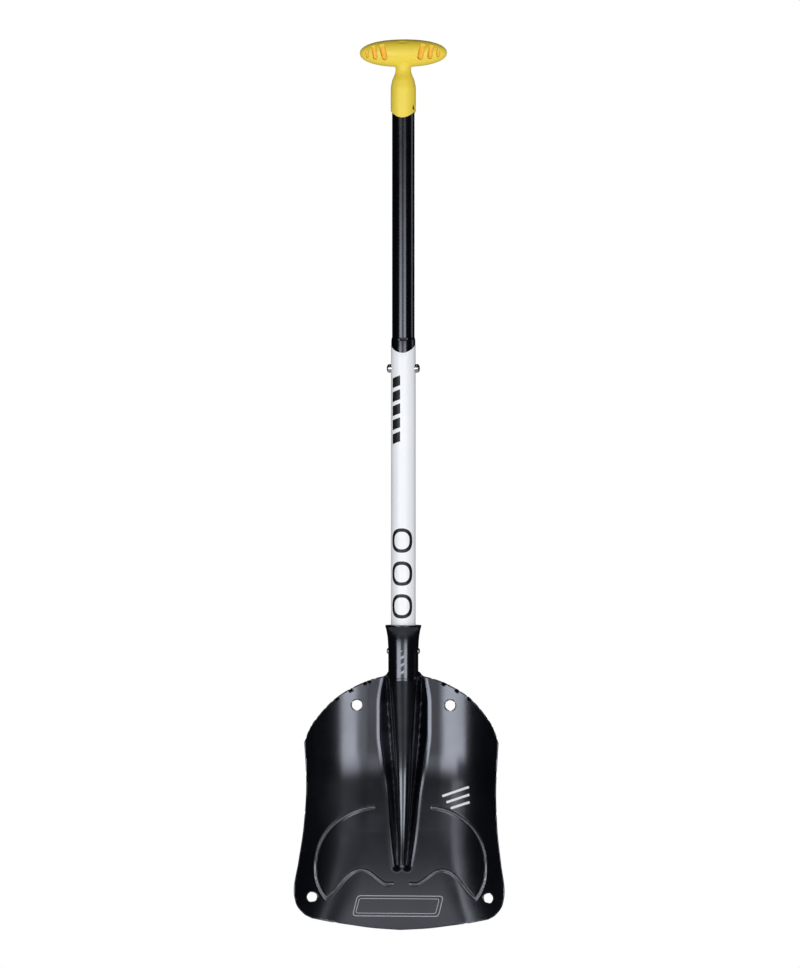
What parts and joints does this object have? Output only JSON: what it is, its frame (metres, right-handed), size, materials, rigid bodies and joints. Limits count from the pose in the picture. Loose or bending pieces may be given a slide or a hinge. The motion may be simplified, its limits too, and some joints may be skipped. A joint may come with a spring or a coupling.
{
  "type": "avalanche shovel",
  "caption": "Avalanche shovel with a black pressed scoop blade, rolled socket, telescopic shaft held by snap buttons, and a yellow T-grip.",
  "frame": {"origin": "centre of the bounding box's bottom face, level with the blade's cutting edge", "axes": "+Z along the shaft towards the grip, -Y out of the scoop's open side, +X to the right of someone facing the scoop"},
  "size_m": [0.2402, 0.0732, 1.015],
  "materials": {
    "blade_black": "black anodised, glossy",
    "tube_white": "white satin paint",
    "tube_black": "black anodised, glossy",
    "collar_black": "moulded, matt",
    "button_steel": "polished",
    "spring_steel": "satin",
    "grip_yellow": "moulded, satin"
  },
  "bodies": {
    "blade_body": {"blade": "blade_black"},
    "lower_shaft": {"lower_tube": "tube_white", "guide_collar": "collar_black", "lower_spring": "spring_steel"},
    "lower_button_left": {"lower_button_left": "button_steel"},
    "lower_button_right": {"lower_button_right": "button_steel"},
    "upper_shaft": {"upper_tube": "tube_black", "upper_spring": "spring_steel", "grip": "grip_yellow", "grip_pin": "button_steel"},
    "upper_button_left": {"upper_button_left": "button_steel"},
    "upper_button_right": {"upper_button_right": "button_steel"}
  },
  "joints": [
    {"name": "shaft_release", "type": "slide", "parent": "blade_body", "child": "lower_shaft", "axis": [0, 0, 1], "range_m": [0, 0.12], "deforming": ["lower_button_left", "lower_button_right", "lower_spring"]},
    {"name": "telescope", "type": "slide", "parent": "lower_shaft", "child": "upper_shaft", "axis": [0, 0, -1], "range_m": [0, 0.24], "deforming": ["upper_button_left", "upper_button_right", "upper_spring"]},
    {"name": "lower_button_left_press", "type": "slide", "parent": "lower_shaft", "child": "lower_button_left", "axis": [1, 0, 0], "range_m": [0, 0.0048], "stiffness_N_per_m": 1200, "springref_m": -0.001},
    {"name": "lower_button_right_press", "type": "slide", "parent": "lower_shaft", "child": "lower_button_right", "axis": [-1, 0, 0], "range_m": [0, 0.0048], "stiffness_N_per_m": 1200, "springref_m": -0.001},
    {"name": "upper_button_left_press", "type": "slide", "parent": "upper_shaft", "child": "upper_button_left", "axis": [1, 0, 0], "range_m": [0, 0.006], "stiffness_N_per_m": 1200, "springref_m": -0.001},
    {"name": "upper_button_right_press", "type": "slide", "parent": "upper_shaft", "child": "upper_button_right", "axis": [-1, 0, 0], "range_m": [0, 0.006], "stiffness_N_per_m": 1200, "springref_m": -0.001}
  ]
}
